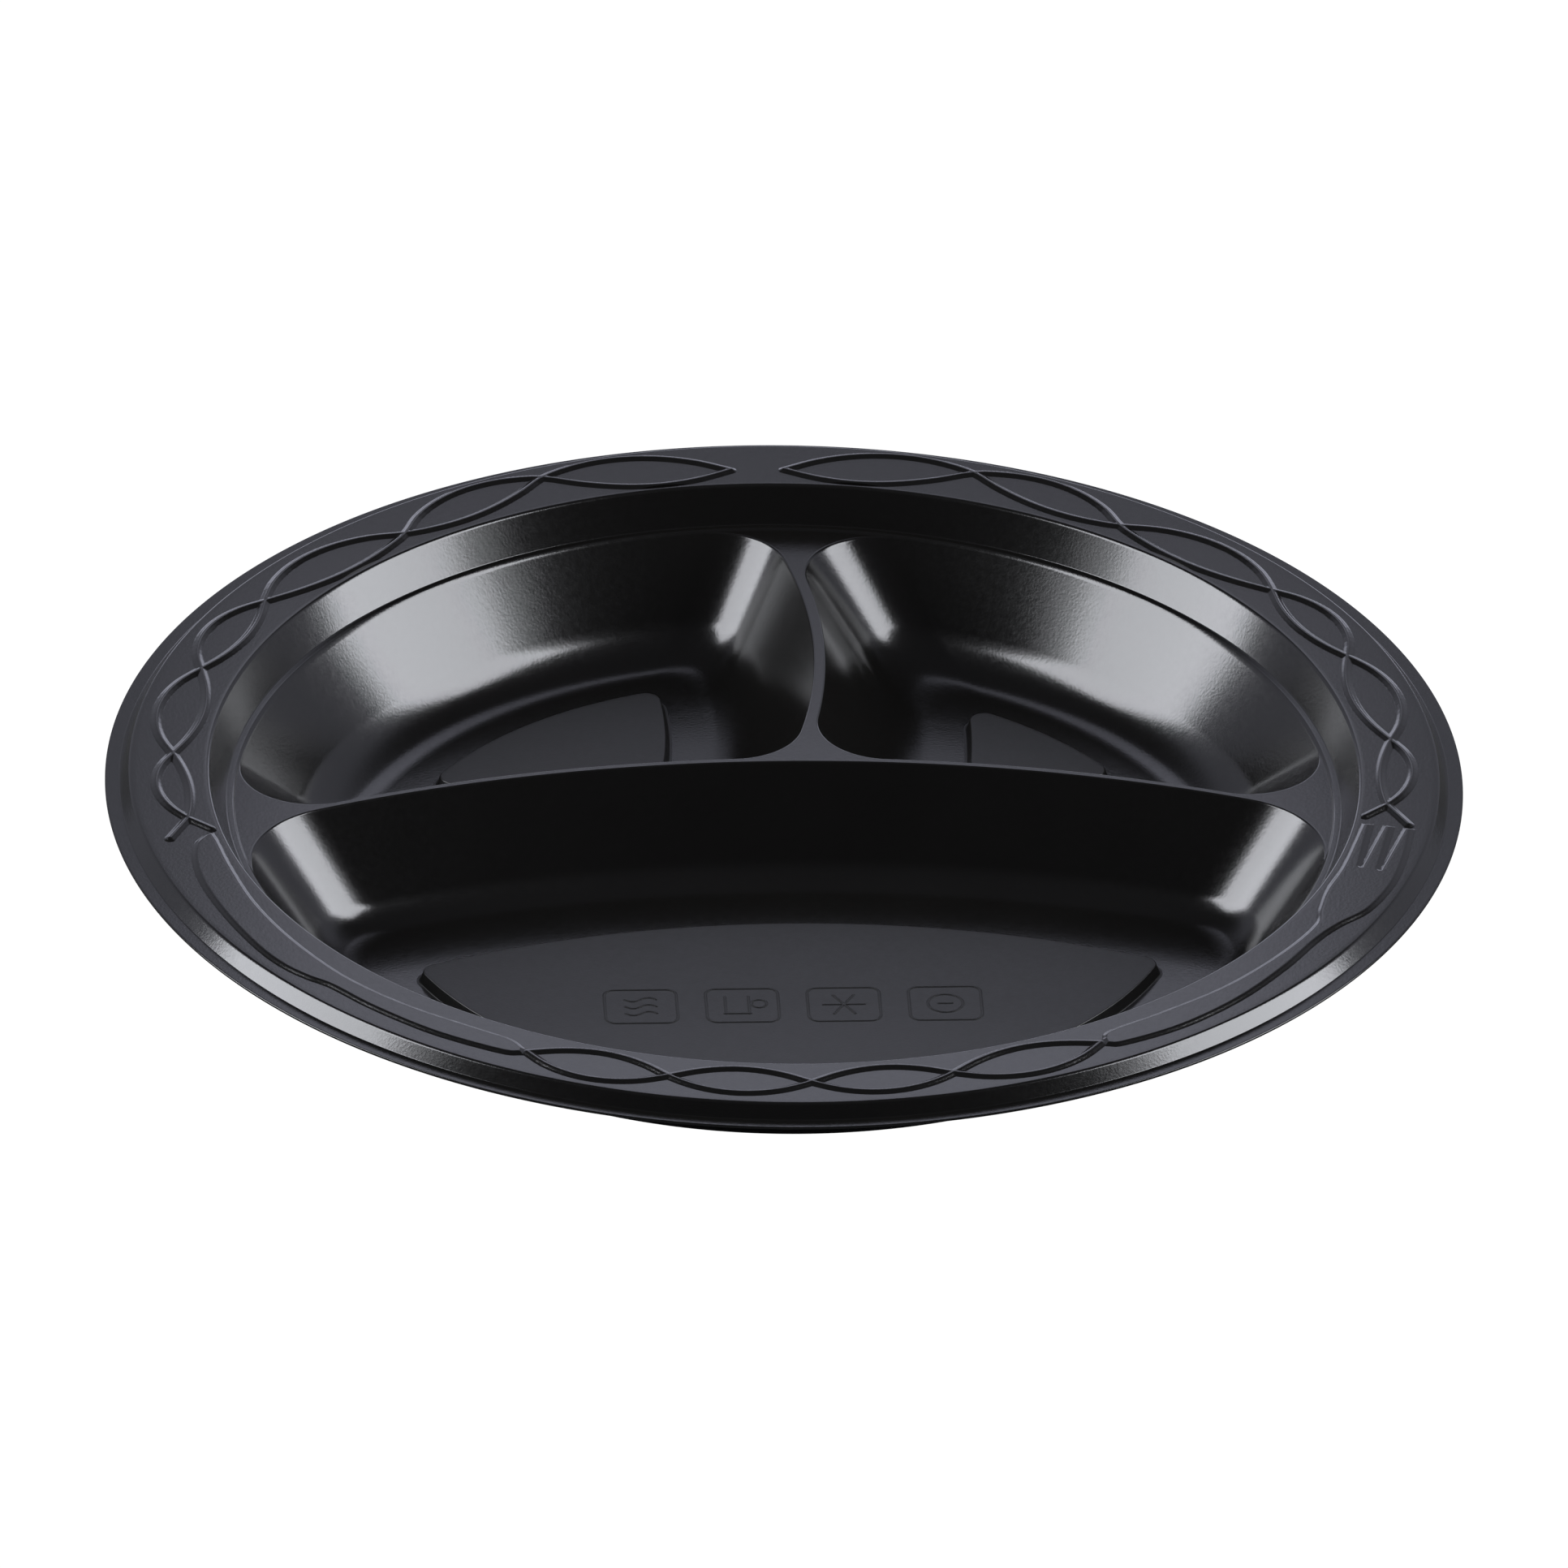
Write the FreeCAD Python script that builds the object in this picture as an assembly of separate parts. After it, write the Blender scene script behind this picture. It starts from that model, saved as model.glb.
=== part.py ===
"""Three-compartment disposable plate, thermoformed in one sheet.

The plate is split into the regions that a press operator would name. Every region is a closed thin solid, and
neighbouring regions meet face to face. Millimetres, +Z up, origin under the middle of the base, +Y to the rear
(the two small compartments), -Y to the front (the large one).
"""
import FreeCAD, Part
import os
from math import acos, atan2, cos, degrees, hypot, pi, radians, sin, sqrt, tan

# ---- Driving dimensions -------------------------------------------------------------------------------------
SHEET = 0.5                 # sheet thickness; the floor rings rest on Z = 0
PLATE_R = 130.0             # outer radius of the trimmed edge
LIP_R = 127.3               # inner radius of the flat trim lip
LIP_Z = SHEET + 24.5        # top of the trim lip
BAND_Z = SHEET + 27.1       # top of the flat rim band
CREST_R = 125.3             # where the outer bevel would meet the band without its rounding
CREST_ROUND = 0.9           # rounding of the crest
BAND_OUT_R = 123.9          # band between these two radii
BAND_IN_R = 111.3
SHOULDER_R = 110.2          # where the inner slope would meet the band without its rounding
SHOULDER_ROUND = 1.0
LEDGE_OUT_R = 106.7         # stacking ledge
LEDGE_IN_R = 105.6
LEDGE_Z = SHEET + 20.1
PAN_R = 105.1               # mouth of the compartments along the round side
DECK_Z = SHEET + 19.7       # top of the dividers
WALL_SLOPE = 57.0           # compartment wall, degrees from level
WALL_FILLETS = {"large": 9.0, "left": 14.0, "right": 14.0}      # radius from the wall into the floor
LARGE_CORNER = 21.0         # corner radius of the large compartment at its mouth
SMALL_CORNER = 14.0         # and of the small ones
CORNER_SHRINK = 0.3         # how much smaller they get with each millimetre further in

BAR_R = 250.0               # cross divider: both edges are arcs of this radius
BAR_FRONT_Y = 16.5
BAR_REAR_Y = 17.9
SPINE_Y = 60.5              # rear divider: two arcs bowed towards +X
SPINE_LEFT_X, SPINE_LEFT_R = 8.5, 137.0
SPINE_RIGHT_X, SPINE_RIGHT_R = 10.5, 153.0

PANEL_R = 77.2              # round edge of the raised floor panels
PANEL_RISE = 2.2
PANEL_DRAFT = 0.7           # how far the step spreads outwards on the way down
PANEL_CORNER = 2.8
PANEL_SETBACK = 28.4        # from a small compartment's mouth to its panel
FRONT_PANEL_R = 172.0       # rear edge of the large panel
FRONT_PANEL_Y = -15.0

RELIEF = 0.5                # height of the knife and the fork
RIB_WIDTH = 1.4
RIB_HEIGHT = 0.6
MARK_LINE = 0.5             # line width and height of the care marks
MARK_HEIGHT = 0.2
MARK_SIZE = (14.3, 13.0)
MARK_CORNER = 2.0
MARK_Y = -46.0
MARK_PITCH = 19.4

# Braid nodes as (angle, radius) and the outward and inward bulge of each cell between two nodes.
SIDE_NODES = [(-7.8, 115.8), (4.4, 117.1), (20.5, 117.6), (34.6, 117.8), (53.3, 115.3), (69.8, 120.8),
              (87.45, 115.7)]
SIDE_BULGES = [(3.9, 2.3), (4.5, 4.4), (4.5, 3.6), (5.3, 4.4), (4.9, 4.5), (4.9, 6.2)]
SIDE_TAILS = [(-10.1, 112.1), (-11.1, 120.75)]
FRONT_NODES = [(-117.0, 118.1), (-103.3, 117.9), (-90.0, 117.7), (-76.7, 117.9), (-61.9, 118.1)]
FRONT_BULGES = [(4.7, 5.2), (4.2, 4.8), (4.2, 4.8), (4.7, 5.2)]

# Knife and fork as (angle from the front, radius), on the side where the angle is positive.
KNIFE_OUTER = [(27.2, 119.2), (29.2, 120.5), (36, 121.0), (43, 120.7), (48.3, 120.4), (51, 121.6), (54, 122.4),
               (58, 122.2), (64, 121.2), (70, 120.2), (74.2, 118.8), (77.2, 116.8), (78.6, 114.4), (79.3, 112.3)]
KNIFE_INNER = [(77.6, 112.0), (72, 112.5), (65, 113.7), (58, 114.6), (51, 115.4), (46, 115.6), (40, 115.3),
               (33, 114.8), (29.4, 115.2), (27.5, 117.2)]
FORK_OUTER = [(28.3, 119.3), (29.9, 120.8), (36, 121.8), (43, 121.4), (50, 120.2), (56, 119.3), (59.4, 120.2),
              (63, 122.6), (68, 123.3), (73, 122.7), (78.2, 121.9)]
FORK_INNER = [(78.4, 112.0), (70, 111.9), (65, 112.0), (61.2, 113.7), (58.2, 115.8), (52, 116.0), (44, 115.8),
              (36, 115.0), (30.0, 115.1), (28.6, 117.2)]
FORK_TIPS = [(78.3, 120.1), (70.2, 119.1), (78.3, 118.0), (78.4, 116.1), (70.2, 115.3), (78.4, 113.9)]

UP = FreeCAD.Vector(0, 0, 1)


# ---- Plan geometry ------------------------------------------------------------------------------------------
def vec(x, y, z=0.0):
    return FreeCAD.Vector(x, y, z)


def polar(angle, radius, z=0.0):
    return vec(radius * cos(radians(angle)), radius * sin(radians(angle)), z)


class Side:
    """One edge of a compartment: a circle that the compartment lies inside (+1) or outside (-1)."""

    def __init__(self, x, y, radius, keep):
        self.x, self.y, self.radius, self.keep = x, y, radius, keep

    def moved_in(self, run):
        return Side(self.x, self.y, self.radius - self.keep * run, self.keep)

    def point_near(self, target):
        dx, dy = target[0] - self.x, target[1] - self.y
        scale = self.radius / hypot(dx, dy)
        return self.x + dx * scale, self.y + dy * scale


def crossing(first, second, near):
    """The crossing of two circles that lies nearest to a given point."""
    dx, dy = second.x - first.x, second.y - first.y
    gap = hypot(dx, dy)
    along = (gap ** 2 + first.radius ** 2 - second.radius ** 2) / (2 * gap)
    across = sqrt(first.radius ** 2 - along ** 2)
    middle = (first.x + along * dx / gap, first.y + along * dy / gap)
    both = [(middle[0] - s * across * dy / gap, middle[1] + s * across * dx / gap) for s in (1, -1)]
    return min(both, key=lambda p: hypot(p[0] - near[0], p[1] - near[1]))


def outline(sides, run, corner):
    """Edge data of a compartment: for each corner the tangent point, its middle and the next tangent point."""
    moved = [side.moved_in(run) for side in sides]
    corners = []
    for index, second in enumerate(moved):
        first = moved[index - 1]
        near = crossing(first, second, MOUTHS[id(sides)][index])
        centre = crossing(first.moved_in(corner), second.moved_in(corner), near)
        start, end = first.point_near(centre), second.point_near(centre)
        reach = hypot(near[0] - centre[0], near[1] - centre[1])
        middle = (centre[0] + (near[0] - centre[0]) * corner / reach,
                  centre[1] + (near[1] - centre[1]) * corner / reach)
        corners.append((start, middle, end))
    return moved, corners


def arc(start, middle, end, z):
    return Part.Arc(vec(*start, z), vec(*middle, z), vec(*end, z)).toShape()


def mouth_edges(sides, run, corner, z):
    """Edges of one closed level outline: corner, side, corner, side and so on."""
    moved, corners = outline(sides, run, corner)
    edges = []
    for index, (start, middle, end) in enumerate(corners):
        following = corners[(index + 1) % len(corners)][0]
        edges.append(arc(start, middle, end, z))
        edges.append(long_side(moved[index], end, following, z))
    return edges


def long_side(side, start, end, z):
    """An arc on a side's own circle, turned the way the compartment's outline runs."""
    a0 = atan2(start[1] - side.y, start[0] - side.x)
    a1 = atan2(end[1] - side.y, end[0] - side.x)
    turn = (a1 - a0) % (2 * pi) if side.keep > 0 else -((a0 - a1) % (2 * pi))
    middle = (side.x + side.radius * cos(a0 + turn / 2), side.y + side.radius * sin(a0 + turn / 2))
    return arc(start, middle, end, z)


# Compartments, counter-clockwise. A corner joins the side before it to the side of the same index.
ROUND = (0.0, 0.0, PAN_R, 1)
LARGE = [Side(0, BAR_FRONT_Y - BAR_R, BAR_R, 1), Side(*ROUND)]
LEFT = [Side(0, BAR_REAR_Y - BAR_R, BAR_R, -1), Side(SPINE_LEFT_X - SPINE_LEFT_R, SPINE_Y, SPINE_LEFT_R, 1),
        Side(*ROUND)]
RIGHT = [Side(SPINE_RIGHT_X - SPINE_RIGHT_R, SPINE_Y, SPINE_RIGHT_R, -1), Side(0, BAR_REAR_Y - BAR_R, BAR_R, -1),
         Side(*ROUND)]
MOUTHS = {id(LARGE): [(104, -5), (-104, -5)],
          id(LEFT): [(-104, -3), (5, 18), (3, 105)],
          id(RIGHT): [(6, 105), (5, 18), (104, -3)]}


def corner_at(sides, run):
    return (LARGE_CORNER if sides is LARGE else SMALL_CORNER) - CORNER_SHRINK * run


# ---- Compartment walls --------------------------------------------------------------------------------------
DEPTH = DECK_Z - SHEET
FILLET_STEPS = 8


def wall_run(fillet):
    """How far a wall and its fillet reach in from the mouth."""
    rise = fillet * (1 - cos(radians(WALL_SLOPE)))
    return (DEPTH - rise) / tan(radians(WALL_SLOPE)) + fillet * sin(radians(WALL_SLOPE))


def fillet_levels(fillet, below):
    """Levels (run, z) down the fillet, on its top face or on the face that lies below it."""
    levels = []
    for step in range(FILLET_STEPS + 1):
        lean = radians(WALL_SLOPE) * (1 - step / FILLET_STEPS)
        levels.append((wall_run(fillet) - (fillet + below) * sin(lean),
                       SHEET + fillet - (fillet + below) * cos(lean)))
    return levels


def level_wire(sides, run, z):
    return Part.Wire(mouth_edges(sides, run, corner_at(sides, run), z))


def skin(wires):
    """Ruled faces from each outline to the next."""
    return Part.makeLoft(wires, False, True).Faces


def pan_wall(sides, fillet):
    """Wall and fillet of one compartment, from the deck down to the floor ring."""
    top = fillet_levels(fillet, 0)
    under = fillet_levels(fillet, SHEET)
    under_start = under[0][1] + under[0][0] * tan(radians(WALL_SLOPE))
    top_wires = [level_wire(sides, run, z) for run, z in top]
    under_wires = [level_wire(sides, run, z) for run, z in under]
    rim_wire = level_wire(sides, 0, DECK_Z)
    heel_wire = level_wire(sides, 0, under_start)
    faces = skin([rim_wire] + top_wires) + skin([heel_wire] + under_wires)
    faces += skin([rim_wire, heel_wire]) + skin([top_wires[-1], under_wires[-1]])
    return closed_solid(faces)


def closed_solid(faces):
    shell = Part.makeShell(faces)
    shell.sewShape()
    solid = Part.makeSolid(shell if shell.ShapeType == "Shell" else shell.Shells[0])
    if solid.Volume < 0:
        solid.reverse()
    return solid


# ---- Floors -------------------------------------------------------------------------------------------------
def panel_sides(name):
    """Sides of a raised panel: the mouth's own sides set back, with the round side at PANEL_R."""
    round_side = Side(0, 0, PANEL_R, 1)
    if name == "large":
        return [Side(0, FRONT_PANEL_Y - FRONT_PANEL_R, FRONT_PANEL_R, 1), round_side]
    own = LEFT if name == "left" else RIGHT
    return [side.moved_in(PANEL_SETBACK) for side in own[:2]] + [round_side]


PANELS = {name: panel_sides(name) for name in ("large", "left", "right")}
MOUTHS[id(PANELS["large"])] = [(72, -32), (-72, -32)]
MOUTHS[id(PANELS["left"])] = [(-67, 38), (-22, 46), (-20, 74)]
MOUTHS[id(PANELS["right"])] = [(39, 67), (39, 43), (67, 38)]


def panel_wire(sides, spread, z):
    return Part.Wire(mouth_edges(sides, -spread, PANEL_CORNER + spread, z))


def floor_panel(sides):
    """A raised panel: a pressed tray upside down, open underneath, with its drafted step."""
    top_z = SHEET + PANEL_RISE
    slope = PANEL_DRAFT / PANEL_RISE
    body = Part.makeLoft([panel_wire(sides, PANEL_DRAFT, SHEET), panel_wire(sides, 0, top_z)], True, True)
    foot = Part.Face(panel_wire(sides, PANEL_DRAFT, 0)).extrude(UP * SHEET)
    hollow_top = PANEL_RISE
    inner = PANEL_DRAFT - SHEET
    hollow = Part.makeLoft([panel_wire(sides, inner, 0), panel_wire(sides, inner - slope * hollow_top, hollow_top)],
                           True, True)
    return body.fuse(foot).cut(hollow).removeSplitter()


def floor_ring(pan, panel, fillet):
    """The level ring around a panel: the face that the plate stands on."""
    outer = Part.Face(level_wire(pan, wall_run(fillet), 0))
    inner = Part.Face(panel_wire(panel, PANEL_DRAFT, 0))
    return outer.cut(inner).extrude(UP * SHEET)


# ---- Deck ---------------------------------------------------------------------------------------------------
def divider_deck():
    """The level top of all the dividers: one web with three corner fans."""
    disc = Part.Face(Part.Wire(Part.makeCircle(PAN_R, vec(0, 0, DECK_Z - SHEET))))
    for pan in (LARGE, LEFT, RIGHT):
        disc = disc.cut(Part.Face(level_wire(pan, 0, DECK_Z - SHEET)))
    return disc.extrude(UP * SHEET)


# ---- Round rim ----------------------------------------------------------------------------------------------
def revolved(points):
    """Revolve a closed profile of (radius, z); a third value rounds that corner by a radius."""
    edges, count = [], len(points)
    cuts = [rounded_corner(points[i - 1], points[i], points[(i + 1) % count]) for i in range(count)]
    for index, (start, middle, end) in enumerate(cuts):
        if middle:
            edges.append(Part.Arc(vec(start[0], 0, start[1]), vec(middle[0], 0, middle[1]),
                                  vec(end[0], 0, end[1])).toShape())
        following = cuts[(index + 1) % count][0]
        edges.append(Part.makeLine(vec(end[0], 0, end[1]), vec(following[0], 0, following[1])))
    return Part.Face(Part.Wire(edges)).revolve(vec(0, 0), UP, 360)


def rounded_corner(before, corner, after):
    if len(corner) < 3:
        return corner[:2], None, corner[:2]
    into = unit(before[0] - corner[0], before[1] - corner[1])
    out = unit(after[0] - corner[0], after[1] - corner[1])
    half = acos(into[0] * out[0] + into[1] * out[1]) / 2
    setback = corner[2] / tan(half)
    bisector = unit(into[0] + out[0], into[1] + out[1])
    reach = corner[2] / sin(half) - corner[2]
    return ((corner[0] + into[0] * setback, corner[1] + into[1] * setback),
            (corner[0] + bisector[0] * reach, corner[1] + bisector[1] * reach),
            (corner[0] + out[0] * setback, corner[1] + out[1] * setback))


def unit(x, y):
    return x / hypot(x, y), y / hypot(x, y)


def mitre(slope):
    """Sideways shift of the underside where a level sheet turns into a slope."""
    return SHEET * tan(radians(slope) / 2)


def trim_lip():
    return revolved([(LIP_R, LIP_Z), (PLATE_R, LIP_Z), (PLATE_R, LIP_Z - SHEET), (LIP_R, LIP_Z - SHEET)])


def outer_bevel():
    slope = degrees(atan2(BAND_Z - LIP_Z, LIP_R - CREST_R))
    under = CREST_R - mitre(slope)
    return revolved([(BAND_OUT_R, BAND_Z), (CREST_R, BAND_Z, CREST_ROUND), (LIP_R, LIP_Z),
                     (LIP_R, LIP_Z - SHEET), (LIP_R - mitre(slope), LIP_Z - SHEET),
                     (under, BAND_Z - SHEET, CREST_ROUND - SHEET), (BAND_OUT_R, BAND_Z - SHEET)])


def rim_band():
    return revolved([(BAND_IN_R, BAND_Z), (BAND_OUT_R, BAND_Z), (BAND_OUT_R, BAND_Z - SHEET),
                     (BAND_IN_R, BAND_Z - SHEET)])


def upper_wall():
    slope = degrees(atan2(BAND_Z - LEDGE_Z, SHOULDER_R - LEDGE_OUT_R))
    return revolved([(BAND_IN_R, BAND_Z), (SHOULDER_R, BAND_Z, SHOULDER_ROUND), (LEDGE_OUT_R, LEDGE_Z),
                     (LEDGE_OUT_R, LEDGE_Z - SHEET), (LEDGE_OUT_R + mitre(slope), LEDGE_Z - SHEET),
                     (SHOULDER_R + mitre(slope), BAND_Z - SHEET, SHOULDER_ROUND - SHEET),
                     (BAND_IN_R, BAND_Z - SHEET)])


def stacking_ledge():
    step = LEDGE_Z - DECK_Z
    return revolved([(LEDGE_OUT_R, LEDGE_Z), (LEDGE_IN_R, LEDGE_Z), (PAN_R, DECK_Z), (PAN_R, DECK_Z - SHEET),
                     (LEDGE_IN_R + step, DECK_Z - SHEET), (LEDGE_IN_R + 2 * step, LEDGE_Z - SHEET),
                     (LEDGE_OUT_R, LEDGE_Z - SHEET)])


# ---- Reliefs on the rim -------------------------------------------------------------------------------------
def spline(points):
    curve = Part.BSplineCurve()
    curve.interpolate(points)
    return curve.toShape()


SAMPLES_PER_CELL = 6


def strand_points(nodes, bulges, first_out):
    """Centre line of one strand: it bulges outwards in one cell and inwards in the next."""
    points = []
    for cell, (outward, inward) in enumerate(bulges):
        (a0, r0), (a1, r1) = nodes[cell], nodes[cell + 1]
        height = outward if (cell + first_out) % 2 else -inward
        last = cell == len(bulges) - 1
        for step in range(SAMPLES_PER_CELL + last):
            share = step / SAMPLES_PER_CELL
            radius = r0 + (r1 - r0) * share + 4 * height * share * (1 - share)
            points.append((a0 + (a1 - a0) * share, radius))
    return points


def rib(points, mirror=1):
    """A flat-topped rib along a centre line of (angle, radius)."""
    centre = [polar(angle, radius) for angle, radius in points]
    centre = [vec(mirror * p.x, p.y) for p in centre]
    left, right = [], []
    for index, point in enumerate(centre):
        ahead = centre[min(index + 1, len(centre) - 1)] - centre[max(index - 1, 0)]
        normal = vec(-ahead.y, ahead.x).normalize() * (RIB_WIDTH / 2)
        left.append(point + normal)
        right.append(point - normal)
    join = spline if len(centre) > 2 else (lambda ends: Part.makeLine(*ends))
    wire = Part.Wire([join(left), Part.makeLine(left[-1], right[-1]), join(right),
                      Part.makeLine(right[0], left[0])])
    return placed(Part.Face(wire), RIB_HEIGHT)


def placed(face, height, z=BAND_Z):
    face.translate(vec(0, 0, z))
    solid = face.extrude(UP * height)
    if solid.Volume < 0:
        solid.reverse()
    return solid


def braid(nodes, bulges, tails=(), mirror=1):
    ribs = [rib(strand_points(nodes, bulges, first), mirror) for first in (0, 1)]
    ribs += [rib([nodes[0], tail], mirror) for tail in tails]
    return ribs[0].fuse(ribs[1:]).removeSplitter()


def knife():
    outer = [polar(-90 - angle, radius) for angle, radius in KNIFE_OUTER]
    inner = [polar(-90 - angle, radius) for angle, radius in KNIFE_INNER]
    wire = Part.Wire([spline(outer), Part.makeLine(outer[-1], inner[0]), spline(inner),
                      Part.makeLine(inner[-1], outer[0])])
    return placed(Part.Face(wire), RELIEF)


def fork():
    outer = [polar(-90 + angle, radius) for angle, radius in FORK_OUTER]
    inner = [polar(-90 + angle, radius) for angle, radius in FORK_INNER]
    tips = [outer[-1]] + [polar(-90 + angle, radius) for angle, radius in FORK_TIPS] + [inner[0]]
    edges = [spline(outer)] + [Part.makeLine(a, b) for a, b in zip(tips, tips[1:])]
    edges += [spline(inner), Part.makeLine(inner[-1], outer[0])]
    return placed(Part.Face(Part.Wire(edges)), RELIEF)


# ---- Care marks on the large panel --------------------------------------------------------------------------
def rounded_plate(width, height, corner):
    x, y = width / 2, height / 2
    box = Part.makePlane(width, height, vec(-x, -y)).extrude(UP * MARK_HEIGHT)
    return box.makeFillet(corner, [e for e in box.Edges if e.Length < MARK_HEIGHT * 1.01])


def frame():
    width, height = MARK_SIZE
    inside = rounded_plate(width - 2 * MARK_LINE, height - 2 * MARK_LINE, MARK_CORNER - MARK_LINE)
    return rounded_plate(width, height, MARK_CORNER).cut(inside)


def stroke(length, x=0.0, y=0.0, turn=0.0):
    """A straight line of the mark, drawn about its own middle."""
    bar = Part.makeBox(length, MARK_LINE, MARK_HEIGHT, vec(-length / 2, -MARK_LINE / 2))
    bar.rotate(vec(0, 0), UP, turn)
    bar.translate(vec(x, y))
    return bar


def ring(radius, x=0.0, y=0.0):
    outer = Part.makeCylinder(radius, MARK_HEIGHT, vec(x, y))
    return outer.cut(Part.makeCylinder(radius - MARK_LINE, MARK_HEIGHT, vec(x, y)))


def wave(y):
    half = 3.0
    upper, lower = [], []
    for step in range(9):
        x = half * (step / 4 - 1)
        height = y + 0.7 * sin(pi * x / half)
        upper.append(vec(x, height + MARK_LINE / 2))
        lower.append(vec(x, height - MARK_LINE / 2))
    wire = Part.Wire([spline(upper), Part.makeLine(upper[-1], lower[-1]), spline(lower),
                      Part.makeLine(lower[0], upper[0])])
    return Part.Face(wire).extrude(UP * MARK_HEIGHT)


def mark_heat():
    return [wave(y) for y in (-2.6, 0.0, 2.6)]


def mark_cup():
    return [stroke(5.0, -1.0, -3.0), stroke(6.4, -3.25, 0.1, 90), stroke(6.4, 1.25, 0.1, 90), ring(1.7, 3.2, 0.6)]


def mark_frost():
    return [stroke(8.0, turn=60 * spoke) for spoke in range(3)]


def mark_loop():
    return [ring(3.6), stroke(2.6)]


def care_mark(index, drawing):
    """One framed care mark, standing on the large panel."""
    symbol = drawing()
    joined = symbol[0].fuse(symbol[1:])
    group = Part.makeCompound([frame()] + joined.Solids)
    group.translate(vec((index - 1.5) * MARK_PITCH, MARK_Y, SHEET + PANEL_RISE))
    return group


# ---- Parts --------------------------------------------------------------------------------------------------
def all_parts():
    front = braid(FRONT_NODES, FRONT_BULGES)
    parts = {
        "trim_lip": trim_lip(),
        "outer_bevel": outer_bevel(),
        "rim_band": rim_band(),
        "upper_wall": upper_wall(),
        "stacking_ledge": stacking_ledge(),
        "divider_deck": divider_deck(),
        "braid_front": front,
        "braid_right": braid(SIDE_NODES, SIDE_BULGES, SIDE_TAILS),
        "braid_left": braid(SIDE_NODES, SIDE_BULGES, SIDE_TAILS, -1),
        "knife_relief": knife().cut(front),
        "fork_relief": fork().cut(front),
    }
    for name, pan in (("large", LARGE), ("left", LEFT), ("right", RIGHT)):
        parts[name + "_pan_wall"] = pan_wall(pan, WALL_FILLETS[name])
        parts[name + "_floor_ring"] = floor_ring(pan, PANELS[name], WALL_FILLETS[name])
        parts[name + "_floor_panel"] = floor_panel(PANELS[name])
    marks = [("heat", mark_heat), ("cup", mark_cup), ("frost", mark_frost), ("loop", mark_loop)]
    for index, (name, drawing) in enumerate(marks):
        parts["care_mark_" + name] = care_mark(index, drawing)
    return parts


def main():
    os.makedirs("parts", exist_ok=True)
    for name, shape in all_parts().items():
        shape.exportStep("parts/" + name + ".step")
        box = shape.BoundBox
        print(f"{name:20s} solids {len(shape.Solids)} valid {shape.isValid()} volume {shape.Volume:9.1f} "
              f"z {box.ZMin:6.2f} {box.ZMax:6.2f}")


main()
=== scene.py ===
"""Looks of a three-compartment disposable plate, pressed in black plastic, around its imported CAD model.

Every region of the sheet is rebuilt as a closed thin mesh with its real edge roundings, and the raised braid,
cutlery and care marks as fine height grids. The plate's lengths are in millimetres until a mesh is made in
metres. Those of the studio are in metres.
"""
import bpy
import bmesh
import numpy as np
from math import acos, atan2, cos, degrees, hypot, pi, radians, sin, sqrt, tan
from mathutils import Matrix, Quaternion, Vector


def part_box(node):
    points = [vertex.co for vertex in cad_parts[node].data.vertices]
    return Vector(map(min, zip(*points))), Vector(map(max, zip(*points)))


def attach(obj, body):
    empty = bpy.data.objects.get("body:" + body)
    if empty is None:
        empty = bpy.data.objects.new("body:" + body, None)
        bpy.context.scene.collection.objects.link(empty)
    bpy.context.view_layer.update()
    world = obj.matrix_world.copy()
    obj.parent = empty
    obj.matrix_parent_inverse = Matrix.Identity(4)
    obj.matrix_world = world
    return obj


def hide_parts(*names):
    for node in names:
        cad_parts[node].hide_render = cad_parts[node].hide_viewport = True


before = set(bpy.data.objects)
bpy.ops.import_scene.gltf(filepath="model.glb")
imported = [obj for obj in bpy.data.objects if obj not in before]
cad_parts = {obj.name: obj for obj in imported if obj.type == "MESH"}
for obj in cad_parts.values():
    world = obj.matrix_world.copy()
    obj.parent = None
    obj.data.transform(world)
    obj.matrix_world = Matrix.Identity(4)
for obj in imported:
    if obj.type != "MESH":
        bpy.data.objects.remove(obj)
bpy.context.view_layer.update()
MM = 0.001


# ---- Sizes --------------------------------------------------------------------------------------------------
def top_of(node):
    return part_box(node)[1].z / MM


def reach_of(node):
    """Outer radius of a node that is round about the plate's axis."""
    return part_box(node)[1].x / MM


SHEET = top_of("large_floor_ring")
PLATE_R, LIP_R = reach_of("trim_lip"), reach_of("outer_bevel")
BAND_OUT_R, BAND_IN_R = reach_of("rim_band"), reach_of("upper_wall")
LEDGE_OUT_R = reach_of("stacking_ledge")
LIP_Z, BAND_Z, LEDGE_Z = top_of("trim_lip"), top_of("rim_band"), top_of("stacking_ledge")
DECK_Z, PANEL_Z = top_of("divider_deck"), top_of("large_floor_panel")
RELIEF, MARK_HEIGHT = top_of("knife_relief") - BAND_Z, top_of("care_mark_cup") - PANEL_Z

TRIM_STRIP, TRIM_ROUND = 0.4, 0.12     # strip of the lip next to the trimmed edge, and the edge's rounding
CREST_R, CREST_ROUND = 125.3, 0.9      # where the outer bevel turns into the band
SHOULDER_R, SHOULDER_ROUND = 110.2, 1.0
BEVEL_FOOT_ROUND, BEVEL_UNDER_ROUND = 0.3, 0.5
WALL_FOOT_ROUND, WALL_UNDER_ROUND = 0.35, 0.6
LEDGE_IN_R, LEDGE_ROUND = 105.6, 0.3
PAN_R = 105.1
EDGE_ROUND = 0.5                       # rounding of the compartments' edges
WALL_SLOPE = 57.0
WALL_FILLETS = {"large": 9.0, "left": 14.0, "right": 14.0}
MOUTH_CORNERS = {"large": 21.0, "left": 14.0, "right": 14.0}
CORNER_SHRINK = 0.3                    # how much smaller a corner gets with each millimetre further in
BAR_R, BAR_FRONT_Y, BAR_REAR_Y = 250.0, 16.5, 17.9
SPINE_Y = 60.5
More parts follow.
